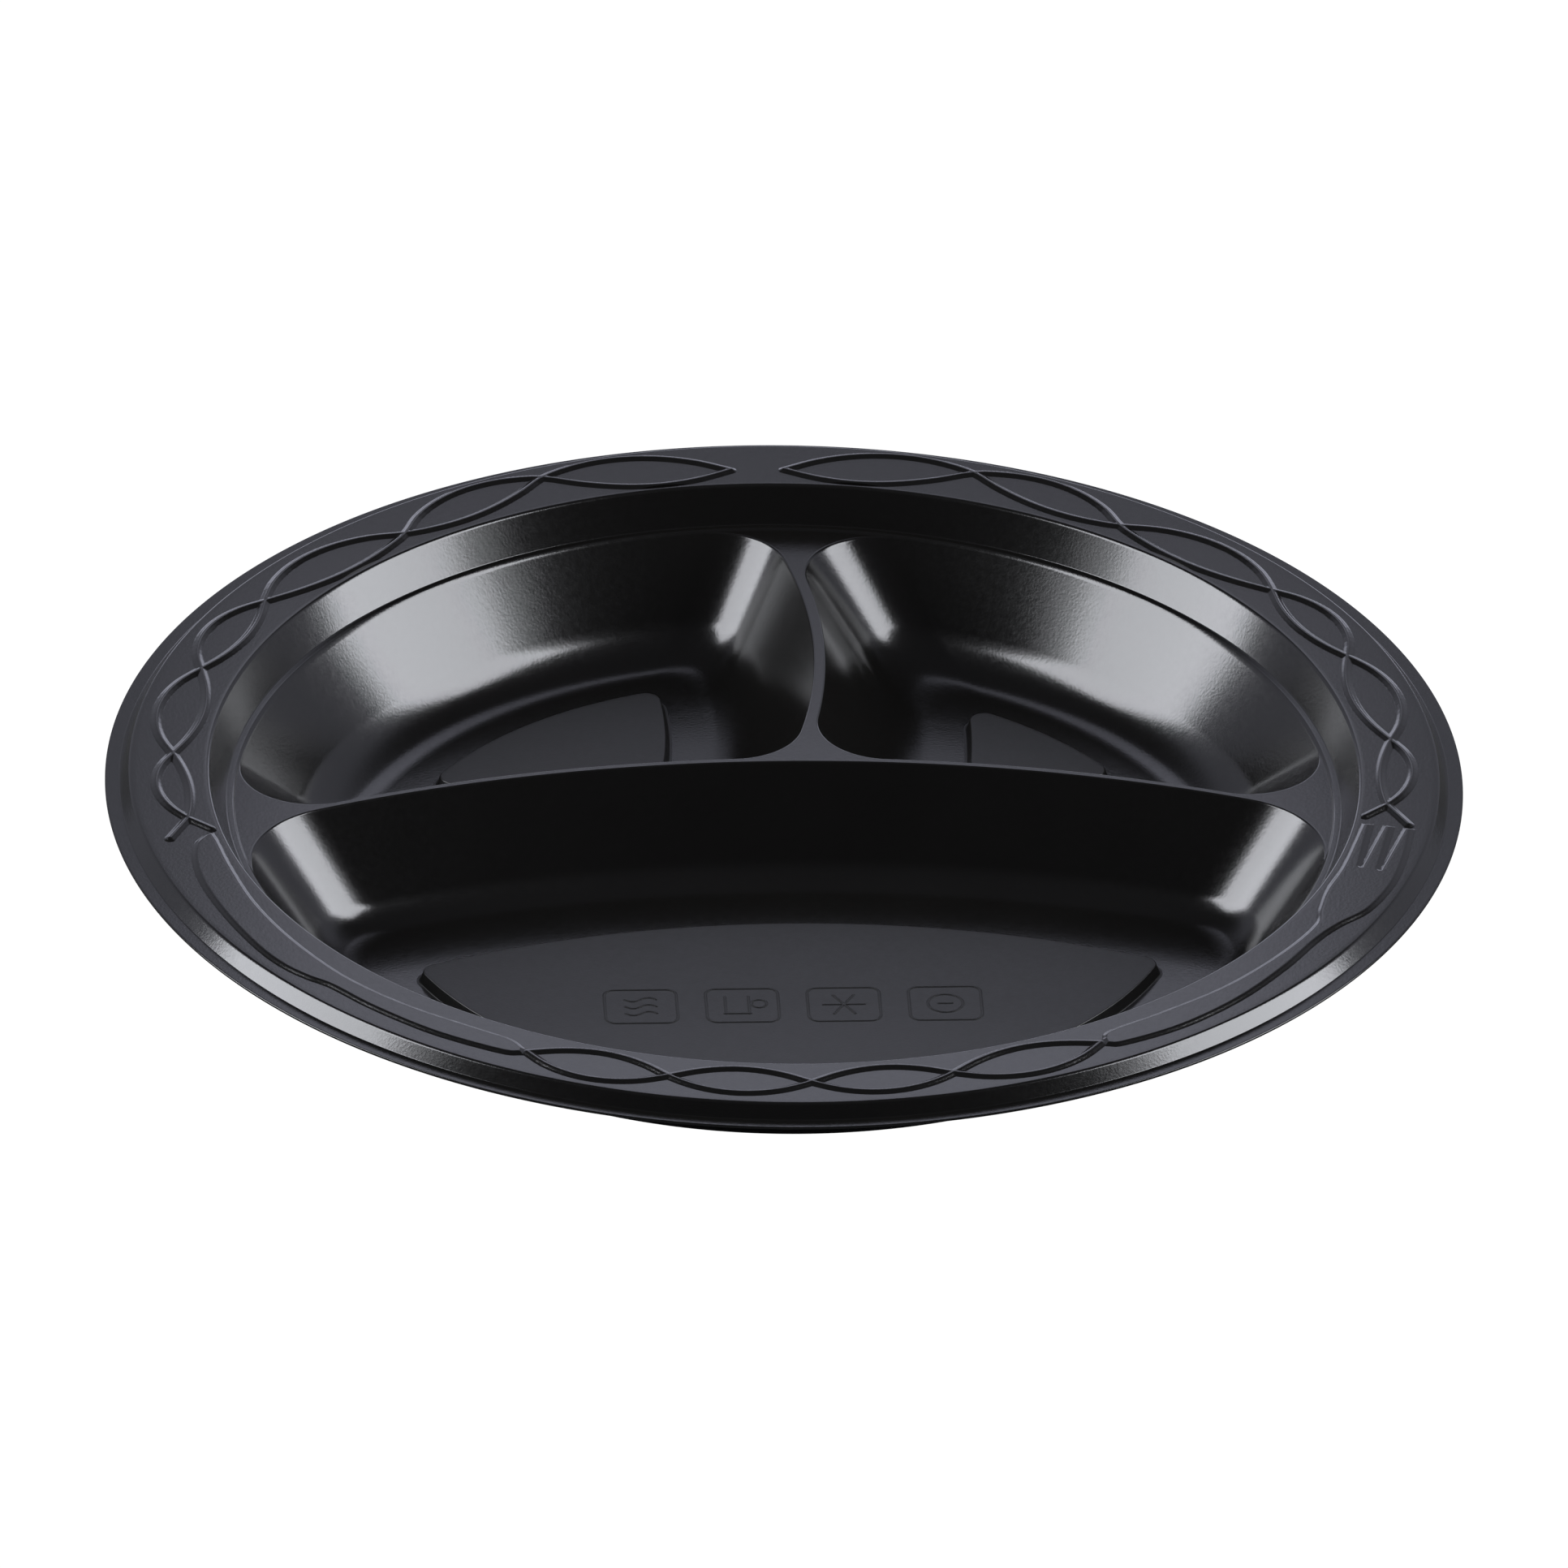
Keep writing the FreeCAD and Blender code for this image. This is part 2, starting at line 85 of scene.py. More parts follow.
SPINE_LEFT_X, SPINE_LEFT_R = 8.5, 137.0
SPINE_RIGHT_X, SPINE_RIGHT_R = 10.5, 153.0
PANEL_R, PANEL_CORNER = 77.2, 2.8
PANEL_DRAFT, PANEL_ROUND, PANEL_UNDER_ROUND = 0.7, 0.3, 0.2
PANEL_SETBACK = 28.4                   # from a small compartment's divider sides to its panel
FRONT_PANEL_R, FRONT_PANEL_Y = 172.0, -15.0
RIB_FOOT, RIB_RISE = 1.3, 0.52         # half width of a rib at its foot, and its height
CUTLERY_FOOT, CUTLERY_TOP = -0.45, 0.8  # depths inside its outline between which a cutlery relief rises
MARGIN = 0.15                          # level or straight strip on either side of a border between regions

ROUND_STEPS = 720                      # points on a full circle, a corner, a wall's fillet and a divider's end
CORNER_STEPS = 28
FILLET_STEPS = 20
FAN_STEPS = 16
RELIEF_CELL, MARK_CELL = 0.2, 0.1      # grid cells of the raised drawings
RELIEF_SINK = 0.02                     # how far a relief's outer edge lies inside the sheet

VIEW_AZIMUTH, VIEW_ELEVATION, VIEW_ROLL = -93.0, 30.15, 0.88
CAMERA_DISTANCE, SENSOR_WIDTH = 12.0, 36
SHOWN_WIDTH = 0.30014                  # width that the picture spans at the rim
AIM_UP = -0.0002                       # how far above the plate's middle the camera aims, in the picture
WHITE = 1.05                           # strength of the floor and the backdrop to the camera
FLOOR_HALF, FLOOR_GREY = 3.0, 0.09
BOX_RADIANCE, EDGE_RADIANCE, REAR_RADIANCE = 11.0, 2.2, 0.47
BOX_TINT, REAR_TINT = (0.93, 0.95, 1.0), (0.88, 0.9, 1.07)
# Each light: name, azimuth, elevation, width, height, distance, radiance, tint.
LIGHTS = [("left_box", 179, 26, 0.66, 1.30, 1.2, BOX_RADIANCE, BOX_TINT),
          ("left_edge", 199.5, 26, 0.20, 1.30, 1.2, EDGE_RADIANCE, BOX_TINT),
          ("right_box", -6, 26, 0.66, 1.30, 1.2, BOX_RADIANCE, BOX_TINT),
          ("right_edge", -26.5, 26, 0.20, 1.30, 1.2, EDGE_RADIANCE, BOX_TINT),
          ("rear_box", 87, 39, 0.22, 0.20, 0.69, 0.9, REAR_TINT),
          ("low_box", 87, 9, 0.60, 0.20, 0.69, 1.2, REAR_TINT)]
# The rear wall and the room fade along the Y and Z parts of a direction: from, to, and the two strengths.
WALL_SIDES, WALL_TOP = (-0.05, 0.15, 0, 1), (0.53, 0.72, 1, 0)
WALL_RISE, ROOM_RISE = (-0.05, 0.4, 0.4, REAR_RADIANCE), (0.6, 1.0, 0.03, 0.07)

# Black plastic. Each noise has a scale and a detail.
PLASTIC_IOR = 1.5
DARKER, LIGHTER = (0.0027, 0.0025, 0.0022, 1), (0.0037, 0.0035, 0.0032, 1)
COLOUR_NOISE, GLOSS_NOISE, GRAIN_NOISE = (60, 3), (900, 4), (1900, 3)
GRAIN_DEPTH = 0.00004

# Braid nodes as (angle, radius), and the outward and inward bulge of each cell between two nodes.
SIDE_NODES = [(-7.8, 115.8), (4.4, 117.1), (20.5, 117.6), (34.6, 117.8), (53.3, 115.3), (69.8, 120.8),
              (87.45, 115.7)]
SIDE_BULGES = [(3.9, 2.3), (4.5, 4.4), (4.5, 3.6), (5.3, 4.4), (4.9, 4.5), (4.9, 6.2)]
SIDE_TAILS = [(-10.1, 112.1), (-11.1, 120.75)]
FRONT_NODES = [(-117.0, 118.1), (-103.3, 117.9), (-90.0, 117.7), (-76.7, 117.9), (-61.9, 118.1)]
FRONT_BULGES = [(4.7, 5.2), (4.2, 4.8), (4.2, 4.8), (4.7, 5.2)]

# Knife and fork as (angle from the front, radius), on the side where the angle is positive.
KNIFE_OUTER = [(27.2, 119.2), (29.2, 120.5), (36, 121.0), (43, 120.7), (48.3, 120.4), (51, 121.6),
               (54, 122.4), (58, 122.2), (64, 121.2), (70, 120.2), (74.2, 118.8), (77.2, 116.8),
               (78.6, 114.4), (79.3, 112.3)]
KNIFE_INNER = [(77.6, 112.0), (72, 112.5), (65, 113.7), (58, 114.6), (51, 115.4), (46, 115.6), (40, 115.3),
               (33, 114.8), (29.4, 115.2), (27.5, 117.2)]
FORK_OUTER = [(28.3, 119.3), (29.9, 120.8), (36, 121.8), (43, 121.4), (50, 120.2), (56, 119.3), (59.4, 120.2),
              (63, 122.6), (68, 123.3), (73, 122.7), (78.2, 121.9)]
FORK_TIPS = [(78.3, 120.1), (70.2, 119.1), (78.3, 118.0), (78.4, 116.1), (70.2, 115.3), (78.4, 113.9)]
FORK_INNER = [(78.4, 112.0), (70, 111.9), (65, 112.0), (61.2, 113.7), (58.2, 115.8), (52, 116.0), (44, 115.8),
              (36, 115.0), (30.0, 115.1), (28.6, 117.2)]

MARK_LINE, MARK_FOOT = 0.5, 0.4        # width of a care mark's line, and half its width at the foot
MARK_SHOWN = 0.7                       # how much of its height such a soft line reaches
MARK_WIDTH, MARK_DEPTH, MARK_CORNER = 14.3, 13.0, 2.0


# ---- Compartment outlines -----------------------------------------------------------------------------------
class Side:
    """One edge of a compartment: a circle that the compartment lies inside (+1) or outside (-1)."""

    def __init__(self, x, y, radius, keep, steps):
        self.x, self.y, self.radius, self.keep, self.steps = x, y, radius, keep, steps

    def moved_in(self, run):
        return Side(self.x, self.y, self.radius - self.keep * run, self.keep, self.steps)

    def angle_to(self, point):
        return atan2(point[1] - self.y, point[0] - self.x)

    def along(self, a0, a1, steps):
        """Points on the circle from one angle up to, and without, the next."""
        turn = (a1 - a0) % (2 * pi) if self.keep > 0 else -((a0 - a1) % (2 * pi))
        angles = [a0 + turn * step / steps for step in range(steps)]
        return [(self.x + self.radius * cos(a), self.y + self.radius * sin(a)) for a in angles]


def crossing(first, second, near):
    """The crossing of two circles that lies nearest to a given point."""
    dx, dy = second.x - first.x, second.y - first.y
    gap = hypot(dx, dy)
    along = (gap ** 2 + first.radius ** 2 - second.radius ** 2) / (2 * gap)
    across = sqrt(first.radius ** 2 - along ** 2)
    middle = (first.x + along * dx / gap, first.y + along * dy / gap)
    both = [(middle[0] - s * across * dy / gap, middle[1] + s * across * dx / gap) for s in (1, -1)]
    return min(both, key=lambda p: hypot(p[0] - near[0], p[1] - near[1]))


class Outline:
    """A closed outline of circle arcs, counter-clockwise, with a rough place for the start of each side."""

    def __init__(self, sides, starts):
        self.sides, self.starts = sides, starts

    def stretches(self, run, corner):
        """Point lists, corner and side in turn, for the outline moved inwards by a run."""
        moved = [side.moved_in(run) for side in self.sides]
        centres = []
        for index, side in enumerate(moved):
            near = crossing(moved[index - 1], side, self.starts[index])
            centres.append(crossing(moved[index - 1].moved_in(corner), side.moved_in(corner), near))
        stretches = []
        for index, side in enumerate(moved):
            before, centre = moved[index - 1], centres[index]
            following = centres[(index + 1) % len(moved)]
            first = self.touch(before, centre)
            last = self.touch(side, centre)
            bend = Side(*centre, corner, 1, CORNER_STEPS)
            stretches.append(bend.along(bend.angle_to(first), bend.angle_to(last), CORNER_STEPS))
            end = self.touch(side, following)
            stretches.append(side.along(side.angle_to(last), side.angle_to(end), side.steps))
        return stretches

    def touch(self, side, centre):
        """Where a corner circle touches a side."""
        angle = side.angle_to(centre)
        return side.x + side.radius * cos(angle), side.y + side.radius * sin(angle)

    def loop(self, run, corner, z):
        return [(x, y, z) for stretch in self.stretches(run, corner) for x, y in stretch]


def rim_side(radius, steps):
    return Side(0, 0, radius, 1, steps)


PANS = {
    "large": Outline([Side(0, BAR_FRONT_Y - BAR_R, BAR_R, 1, 120), rim_side(PAN_R, 220)],
                     [(104, -5), (-104, -5)]),
    "left": Outline([Side(0, BAR_REAR_Y - BAR_R, BAR_R, -1, 70),
                     Side(SPINE_LEFT_X - SPINE_LEFT_R, SPINE_Y, SPINE_LEFT_R, 1, 60), rim_side(PAN_R, 130)],
                    [(-104, -3), (5, 18), (3, 105)]),
    "right": Outline([Side(SPINE_RIGHT_X - SPINE_RIGHT_R, SPINE_Y, SPINE_RIGHT_R, -1, 60),
                      Side(0, BAR_REAR_Y - BAR_R, BAR_R, -1, 70), rim_side(PAN_R, 130)],
                     [(6, 105), (5, 18), (104, -3)]),
}


def panel_outline(name):
    """A raised panel: its compartment's own sides set back, and a round side at PANEL_R."""
    if name == "large":
        rear = Side(0, FRONT_PANEL_Y - FRONT_PANEL_R, FRONT_PANEL_R, 1, 120)
        return Outline([rear, rim_side(PANEL_R, 220)], [(72, -32), (-72, -32)])
    starts = {"left": [(-67, 38), (-22, 46), (-20, 74)], "right": [(39, 67), (39, 43), (67, 38)]}[name]
    own = [side.moved_in(PANEL_SETBACK) for side in PANS[name].sides[:2]]
    return Outline(own + [rim_side(PANEL_R, 130)], starts)


PANELS = {name: panel_outline(name) for name in PANS}


def wall_run(fillet):
    """How far a wall and its fillet reach in from the mouth."""
    rise = fillet * (1 - cos(radians(WALL_SLOPE)))
    return (DECK_Z - SHEET - rise) / tan(radians(WALL_SLOPE)) + fillet * sin(radians(WALL_SLOPE))


def corner_at(name, run):
    return MOUTH_CORNERS[name] - CORNER_SHRINK * run


def pan_loop(name, run, z):
    return PANS[name].loop(run, corner_at(name, run), z)


def panel_loop(name, spread, z):
    return PANELS[name].loop(-spread, PANEL_CORNER + spread, z)


# ---- Profiles -----------------------------------------------------------------------------------------------
def unit(x, y):
    return x / hypot(x, y), y / hypot(x, y)


def rounded(points, steps=10):
    """An open profile of (across, z) points. A third value rounds that corner by a radius."""
    profile = []
    for index, point in enumerate(points):
        if len(point) < 3:
            profile.append(point)
            continue
        before, after = points[index - 1], points[index + 1]
        into = unit(before[0] - point[0], before[1] - point[1])
        out = unit(after[0] - point[0], after[1] - point[1])
        half = acos(into[0] * out[0] + into[1] * out[1]) / 2
        bisector = unit(into[0] + out[0], into[1] + out[1])
        reach = point[2] / sin(half)
        centre = (point[0] + bisector[0] * reach, point[1] + bisector[1] * reach)
        start = atan2(point[1] + into[1] * point[2] / tan(half) - centre[1],
                      point[0] + into[0] * point[2] / tan(half) - centre[0])
        end = atan2(point[1] + out[1] * point[2] / tan(half) - centre[1],
                    point[0] + out[0] * point[2] / tan(half) - centre[0])
        turn = (end - start + pi) % (2 * pi) - pi
        for step in range(steps + 1):
            angle = start + turn * step / steps
            profile.append((centre[0] + point[2] * cos(angle), centre[1] + point[2] * sin(angle)))
    return profile


def circle(radius, z):
    angles = [2 * pi * step / ROUND_STEPS for step in range(ROUND_STEPS)]
    return [(radius * cos(a), radius * sin(a), z) for a in angles]


def mitre(slope):
    """Sideways shift of the underside where a level sheet turns into a slope."""
    return SHEET * tan(radians(slope) / 2)


# ---- Meshes -------------------------------------------------------------------------------------------------
def piece(node, vertices, faces, material):
    """A mesh in metres that stands for a CAD node."""
    mesh = bpy.data.meshes.new(node + "_sheet")
    mesh.from_pydata([tuple(c * MM for c in vertex) for vertex in vertices], [], faces)
    shape = bmesh.new()
    shape.from_mesh(mesh)
    bmesh.ops.recalc_face_normals(shape, faces=shape.faces)
    shape.to_mesh(mesh)
    shape.free()
    mesh.shade_smooth()
    mesh.set_sharp_from_angle(angle=radians(40))
    mesh.materials.append(material)
    made = bpy.data.objects.new(node + "_sheet", mesh)
    bpy.context.scene.collection.objects.link(made)
    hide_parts(node)
    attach(made, "root")
    return made


def through(node, loops, material, tube=True):
    """A closed mesh through loops of equal length: a tube, or a body whose first and last loops are filled."""
    count = len(loops[0])
    vertices = [vertex for loop in loops for vertex in loop]
    pairs = [(k, k + 1) for k in range(len(loops) - 1)]
    if tube:
        pairs.append((len(loops) - 1, 0))
    faces = []
    for a, b in pairs:
        for i in range(count):
            j = (i + 1) % count
            faces.append((a * count + i, a * count + j, b * count + j, b * count + i))
    if not tube:
        faces.append(tuple(range(count)))
        faces.append(tuple(range(len(vertices) - count, len(vertices))))
    return piece(node, vertices, faces, material)


def rim_pieces(material):
    """The regions that are round about the plate's axis."""
    lip_edge = [(PLATE_R - TRIM_STRIP, LIP_Z), (PLATE_R, LIP_Z, TRIM_ROUND),
                (PLATE_R, LIP_Z - SHEET, TRIM_ROUND), (PLATE_R - TRIM_STRIP, LIP_Z - SHEET)]
    lip = [(LIP_R + MARGIN, LIP_Z)] + rounded(lip_edge, 4) + [(LIP_R + MARGIN, LIP_Z - SHEET)]

    slope = degrees(atan2(BAND_Z - LIP_Z, LIP_R - CREST_R))
    shift = mitre(slope)
    bevel = rounded([(BAND_OUT_R, BAND_Z), (CREST_R, BAND_Z, CREST_ROUND),
                     (LIP_R, LIP_Z, BEVEL_FOOT_ROUND), (LIP_R + MARGIN, LIP_Z)])
    bevel += rounded([(LIP_R + MARGIN, LIP_Z - SHEET), (LIP_R - shift, LIP_Z - SHEET, BEVEL_UNDER_ROUND),
                      (CREST_R - shift, BAND_Z - SHEET, CREST_ROUND - SHEET), (BAND_OUT_R, BAND_Z - SHEET)])

    band = [(BAND_IN_R, BAND_Z), (BAND_OUT_R, BAND_Z),
            (BAND_OUT_R, BAND_Z - SHEET), (BAND_IN_R, BAND_Z - SHEET)]

    slope = degrees(atan2(BAND_Z - LEDGE_Z, SHOULDER_R - LEDGE_OUT_R))
    shift = mitre(slope)
    wall = rounded([(BAND_IN_R, BAND_Z), (SHOULDER_R, BAND_Z, SHOULDER_ROUND),
                    (LEDGE_OUT_R, LEDGE_Z, WALL_FOOT_ROUND), (LEDGE_OUT_R - MARGIN, LEDGE_Z)])
    wall += rounded([(LEDGE_OUT_R - MARGIN, LEDGE_Z - SHEET),
                     (LEDGE_OUT_R + shift, LEDGE_Z - SHEET, WALL_UNDER_ROUND),
                     (SHOULDER_R + shift, BAND_Z - SHEET, SHOULDER_ROUND - SHEET),
                     (BAND_IN_R, BAND_Z - SHEET)])

    start_run, start_z = wall_start()
    step = LEDGE_Z - DECK_Z
    ledge = rounded([(LEDGE_OUT_R - MARGIN, LEDGE_Z), (LEDGE_IN_R, LEDGE_Z, LEDGE_ROUND), (PAN_R, DECK_Z)], 6)
    ledge += [(PAN_R - start_run, start_z), (PAN_R - start_run + SHEET, start_z - SHEET),
              (LEDGE_IN_R + 2 * step, LEDGE_Z - SHEET), (LEDGE_OUT_R - MARGIN, LEDGE_Z - SHEET)]

    profiles = {"trim_lip": lip, "outer_bevel": bevel, "rim_band": band, "upper_wall": wall,
                "stacking_ledge": ledge}
    for node, profile in profiles.items():
        through(node, [circle(radius, z) for radius, z in profile], material)


def wall_start():
    """Where a compartment's straight wall takes over from the rounding of its edge, as (run, z)."""
    length = EDGE_ROUND * tan(radians(WALL_SLOPE) / 2) + MARGIN
    return length * cos(radians(WALL_SLOPE)), DECK_Z - length * sin(radians(WALL_SLOPE))


def deck_loop(run, z):
    """The dividers' outline: along each compartment's inner sides, and round the rim between compartments."""
    spans = []
    for name in ("large", "left", "right"):
        stretches = PANS[name].stretches(run, corner_at(name, run))
        spans.append([point for stretch in stretches[:-1] for point in stretch] + [stretches[-1][0]])
    fan = Side(0, 0, PAN_R - run, -1, FAN_STEPS)
    points = []
    for index, span in enumerate(spans):
        following = spans[(index + 1) % 3][0]
        points += span + fan.along(fan.angle_to(span[-1]), fan.angle_to(following), FAN_STEPS)[1:]
    return [(x, y, z) for x, y in points]


def deck_piece(material):
    """The level top of the dividers, with its edges rounded down into the walls."""
    start = wall_start()
    lean = radians(WALL_SLOPE)
    level = -EDGE_ROUND * tan(lean / 2) - MARGIN / 2
    profile = [(level - MARGIN, DECK_Z - SHEET), (start[0] - SHEET * sin(lean), start[1] - SHEET * cos(lean))]
    profile += rounded([start, (0, DECK_Z, EDGE_ROUND), (level, DECK_Z)])
    profile.append((level - MARGIN / 2, DECK_Z))
    through("divider_deck", [deck_loop(run, z) for run, z in profile], material, tube=False)


def wall_profile(fillet, depth):
    """One face of a compartment's wall as (run, z): 0 deep is the top face, SHEET deep is the underside."""
    lean = radians(WALL_SLOPE)
    start = wall_start()
    profile = [(start[0] - depth * sin(lean), start[1] - depth * cos(lean))]
    for step in range(FILLET_STEPS + 1):
        turned = lean * (1 - step / FILLET_STEPS)
        profile.append((wall_run(fillet) - (fillet + depth) * sin(turned),
                        SHEET + fillet - (fillet + depth) * cos(turned)))
    profile.append((wall_run(fillet) + MARGIN, SHEET - depth))
    return profile


def pan_pieces(name, material, panel_material):
    """Wall, floor ring and raised floor panel of one compartment."""
    fillet = WALL_FILLETS[name]
    wall = wall_profile(fillet, 0) + wall_profile(fillet, SHEET)[::-1]
    through(name + "_pan_wall", [pan_loop(name, run, z) for run, z in wall], material)

    foot = PANEL_DRAFT + PANEL_ROUND + 2 * MARGIN
    start = wall_run(fillet) + MARGIN
    ring = [pan_loop(name, start, SHEET), panel_loop(name, foot, SHEET),
            panel_loop(name, foot, 0), pan_loop(name, start, 0)]
    through(name + "_floor_ring", ring, material)

    # The strips next to the panel's edge, above and below, are level up to where the flat faces begin.
    inner = SHEET * 0.7
    panel = [(-1.2, PANEL_Z)]
    panel += rounded([(-1, PANEL_Z), (0, PANEL_Z, PANEL_ROUND),
                      (PANEL_DRAFT, SHEET, PANEL_ROUND), (foot, SHEET)])
    panel += rounded([(foot, 0), (PANEL_DRAFT - inner, 0, PANEL_UNDER_ROUND),
                      (-inner, PANEL_Z - SHEET, PANEL_UNDER_ROUND), (-1.4, PANEL_Z - SHEET)])
    through(name + "_floor_panel", [panel_loop(name, spread, z) for spread, z in panel],
            panel_material, tube=False)


# ---- Reliefs ------------------------------------------------------------------------------------------------
def smooth_curve(points, steps=8):
    """Points on a smooth open curve through a few given ones."""
    ends = [2 * np.array(points[0]) - points[1]], [2 * np.array(points[-1]) - points[-2]]
    p = np.array(ends[0] + list(points) + ends[1])
    curve = []
    for k in range(1, len(p) - 2):
        for t in np.arange(steps) / steps:
            curve.append(0.5 * (2 * p[k] + (p[k + 1] - p[k - 1]) * t
                                + (2 * p[k - 1] - 5 * p[k] + 4 * p[k + 1] - p[k + 2]) * t ** 2
                                + (3 * p[k] - 3 * p[k + 1] + p[k + 2] - p[k - 1]) * t ** 3))
    return curve + [p[-2]]


def polar(angle, radius):
    return radius * cos(radians(angle)), radius * sin(radians(angle))


def distance(x, y, line):
    """Distance from every grid point to a polyline."""
    best = np.full(x.shape, np.inf)
    for (x0, y0), (x1, y1) in zip(line, line[1:]):
        dx, dy = x1 - x0, y1 - y0
        share = np.clip(((x - x0) * dx + (y - y0) * dy) / (dx * dx + dy * dy), 0, 1)
        best = np.minimum(best, np.hypot(x - x0 - share * dx, y - y0 - share * dy))
    return best


def depth_inside(x, y, outline):
    """Distance from every grid point to a closed outline, positive inside it."""
    inside = np.zeros(x.shape, bool)
    ring = list(outline) + [outline[0]]
    for (x0, y0), (x1, y1) in zip(ring, ring[1:]):
        if y0 != y1:
            inside ^= ((y0 > y) != (y1 > y)) & (x < (x1 - x0) * (y - y0) / (y1 - y0) + x0)
    return np.where(inside, 1, -1) * distance(x, y, ring)


def plateau(depth, start, end, height):
    """Height of a raised flat shape whose shoulder rises from one depth inside its outline to another."""
    share = np.clip((depth - start) / (end - start), 0, 1)
    return height * share * share * (3 - 2 * share)


def relief(node, x, y, height, base, material):
    """A fine height grid, kept where it stands above its base, and closed below inside the sheet."""
    lift = height - RELIEF_SINK
    peak = np.maximum(np.maximum(lift[:-1, :-1], lift[1:, :-1]), np.maximum(lift[:-1, 1:], lift[1:, 1:]))
    kept = np.pad(peak > 0, 1)
    index = np.arange(x.size).reshape(x.shape)
    low = x.size
    faces = []
    for i, j in zip(*np.nonzero(kept[1:-1, 1:-1])):
        a, b, c, d = (int(v) for v in (index[i, j], index[i + 1, j], index[i + 1, j + 1], index[i, j + 1]))
        faces.append((a, b, c, d))
        faces.append((a + low, d + low, c + low, b + low))
        sides = (((d, a), kept[i, j + 1]), ((b, c), kept[i + 2, j + 1]), ((a, b), kept[i + 1, j]),
                 ((c, d), kept[i + 1, j + 2]))
        faces += [(v, u, u + low, v + low) for (u, v), neighbour in sides if not neighbour]
    used = sorted({v for face in faces for v in face})
    place = {v: k for k, v in enumerate(used)}
    xs, ys = x.ravel(), y.ravel()
    zs = np.concatenate([base + lift.ravel(), np.full(low, base - SHEET / 2)])
    vertices = [(float(xs[v % low]), float(ys[v % low]), float(zs[v])) for v in used]
    return piece(node, vertices, [tuple(place[v] for v in face) for face in faces], material)


def rim_grid(first, last, inner, outer):
    """A polar grid over part of the band, as x and y arrays."""
    count = int(radians(last - first) * outer / RELIEF_CELL)
    angle = np.radians(np.linspace(first, last, count))[:, None]
    radius = np.linspace(inner, outer, int((outer - inner) / RELIEF_CELL))[None, :]
    return radius * np.cos(angle), radius * np.sin(angle)


def strand(nodes, bulges, first_out):
    """Centre line of one strand: it bulges outwards in one cell and inwards in the next."""
    points = []
    for cell, (outward, inward) in enumerate(bulges):
        (a0, r0), (a1, r1) = nodes[cell], nodes[cell + 1]
        height = outward if (cell + first_out) % 2 else -inward
        for share in np.arange(6) / 6:
            radius = r0 + (r1 - r0) * share + 4 * height * share * (1 - share)
            points.append(polar(a0 + (a1 - a0) * share, radius))
    return smooth_curve(points + [polar(*nodes[-1])], 3)


def braid_piece(node, nodes, bulges, tails, mirror, material):
    lines = [strand(nodes, bulges, first) for first in (0, 1)]
    lines += [[polar(*nodes[0]), polar(*tail)] for tail in tails]
    first = min(angle for angle, radius in nodes + tails) - 1
    x, y = rim_grid(first, nodes[-1][0] + 1, BAND_IN_R, BAND_OUT_R)
    height = np.zeros(x.shape)
    for line in lines:
        rib = plateau(-distance(x, y, line), -RIB_FOOT, 0, RIB_RISE + RELIEF_SINK)
        height = np.maximum(height, rib)
    relief(node, mirror * x, y, height, BAND_Z, material)


def cutlery_piece(node, outer, tips, inner, turn, material):
    """A knife or a fork, with angles counted from the front: turn is +1 to the right and -1 to the left."""
    plan = [[polar(-90 + turn * angle, radius) for angle, radius in points] for points in (outer, tips, inner)]
    outline = smooth_curve(plan[0]) + plan[1] + smooth_curve(plan[2])
    angles = sorted(-90 + turn * angle for angle in (outer[0][0] - 2, outer[-1][0] + 2))
    x, y = rim_grid(*angles, BAND_IN_R, BAND_OUT_R)
    height = plateau(depth_inside(x, y, outline), CUTLERY_FOOT, CUTLERY_TOP, RELIEF + RELIEF_SINK)
    relief(node, x, y, height, BAND_Z, material)


def frame_line(width, depth, corner):
    """The rounded rectangle round a care mark, as a closed polyline."""
    line = []
    for quarter, (sx, sy) in enumerate(((1, 1), (-1, 1), (-1, -1), (1, -1))):
        centre = (sx * (width / 2 - corner), sy * (depth / 2 - corner))
        for step in range(7):
            angle = radians(90 * quarter + 15 * step)
            line.append((centre[0] + corner * cos(angle), centre[1] + corner * sin(angle)))
    return line + line[:1]


def ring_line(radius, x=0.0, y=0.0):
    return [(x + radius * cos(radians(a)), y + radius * sin(radians(a))) for a in range(0, 361, 10)]


def mark_lines():
    """The care marks' lines, each about its own middle."""
    waves = [[(t, y + 0.7 * sin(pi * t / 3)) for t in np.linspace(-3, 3, 25)] for y in (-2.6, 0.0, 2.6)]
    cup = [[(-3.5, -3.0), (1.5, -3.0)], [(-3.25, -3.1), (-3.25, 3.3)], [(1.25, -3.1), (1.25, 3.3)],
           ring_line(1.45, 3.2, 0.6)]
    spokes = [[polar(60 * k, 4), polar(60 * k, -4)] for k in range(3)]
    loop = [ring_line(3.35), [(-1.3, 0), (1.3, 0)]]
    return {"care_mark_heat": waves, "care_mark_cup": cup, "care_mark_frost": spokes, "care_mark_loop": loop}


def mark_pieces(material):
    for node, lines in mark_lines().items():
        low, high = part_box(node)
        centre = (low + high) / 2 / MM
        across = np.arange(0, MARK_WIDTH + 1, MARK_CELL) - (MARK_WIDTH + 1) / 2
        along = np.arange(0, MARK_DEPTH + 1, MARK_CELL) - (MARK_DEPTH + 1) / 2
        x, y = np.meshgrid(across, along, indexing="ij")
        border = frame_line(MARK_WIDTH - MARK_LINE, MARK_DEPTH - MARK_LINE, MARK_CORNER)
        gap = np.minimum.reduce([distance(x, y, line) for line in [border] + lines])
        height = plateau(-gap, -MARK_FOOT, 0, MARK_HEIGHT * MARK_SHOWN + RELIEF_SINK)
        relief(node, x + centre.x, y + centre.y, height, PANEL_Z, material)


